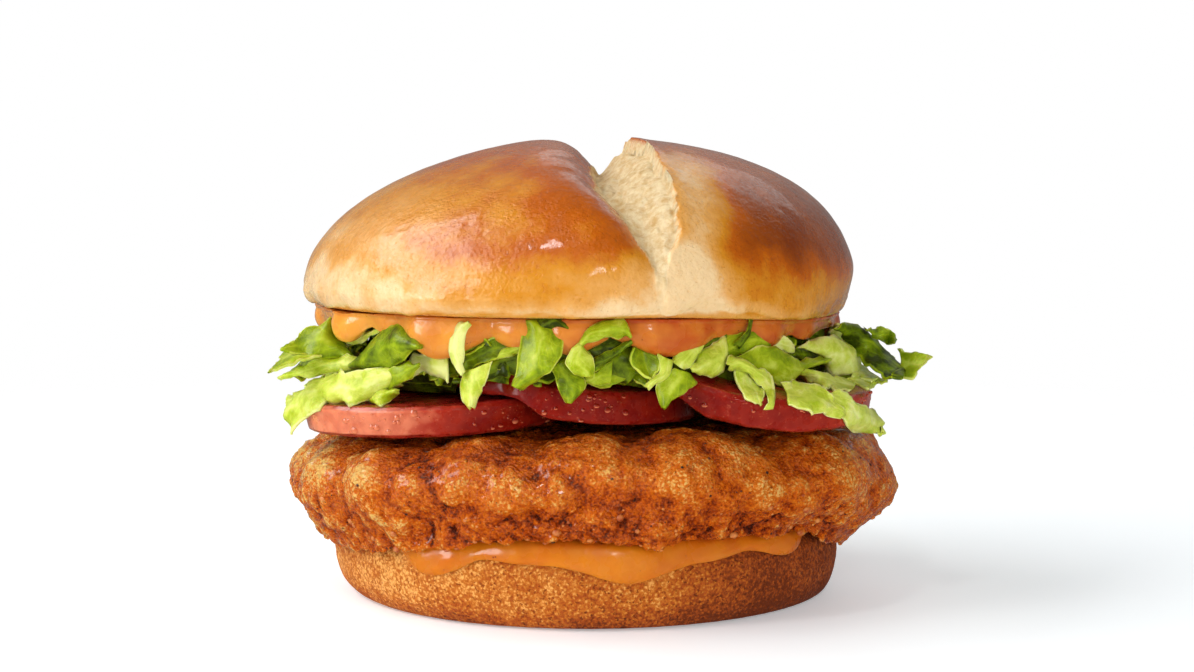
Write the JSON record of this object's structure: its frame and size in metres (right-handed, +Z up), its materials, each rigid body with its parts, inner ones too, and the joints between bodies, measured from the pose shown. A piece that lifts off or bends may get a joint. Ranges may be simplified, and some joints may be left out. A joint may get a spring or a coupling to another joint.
{
  "type": "chicken burger",
  "caption": "Crisp glazed chicken fillet with tomato slices, shredded lettuce and orange sauce in a split round bun",
  "frame": {"origin": "the centre of the heel's flat underside", "axes": "+Z up through the crown; -Y faces the dressed side that the picture shows; +X to the viewer's right, along the fillet's length"},
  "size_m": [0.1285, 0.111, 0.0893],
  "materials": {
    "crust": "gloss",
    "heel_crust": "matte",
    "chicken": "satin",
    "tomato": "gloss",
    "lettuce": "satin",
    "sauce": "gloss"
  },
  "bodies": {
    "root": {"crown": "crust", "heel": "heel_crust", "patty": "chicken", "tomato_left": "tomato", "tomato_middle": "tomato", "tomato_right": "tomato", "lettuce": "lettuce", "sauce_upper": "sauce", "sauce_lower": "sauce"}
  },
  "joints": []
}
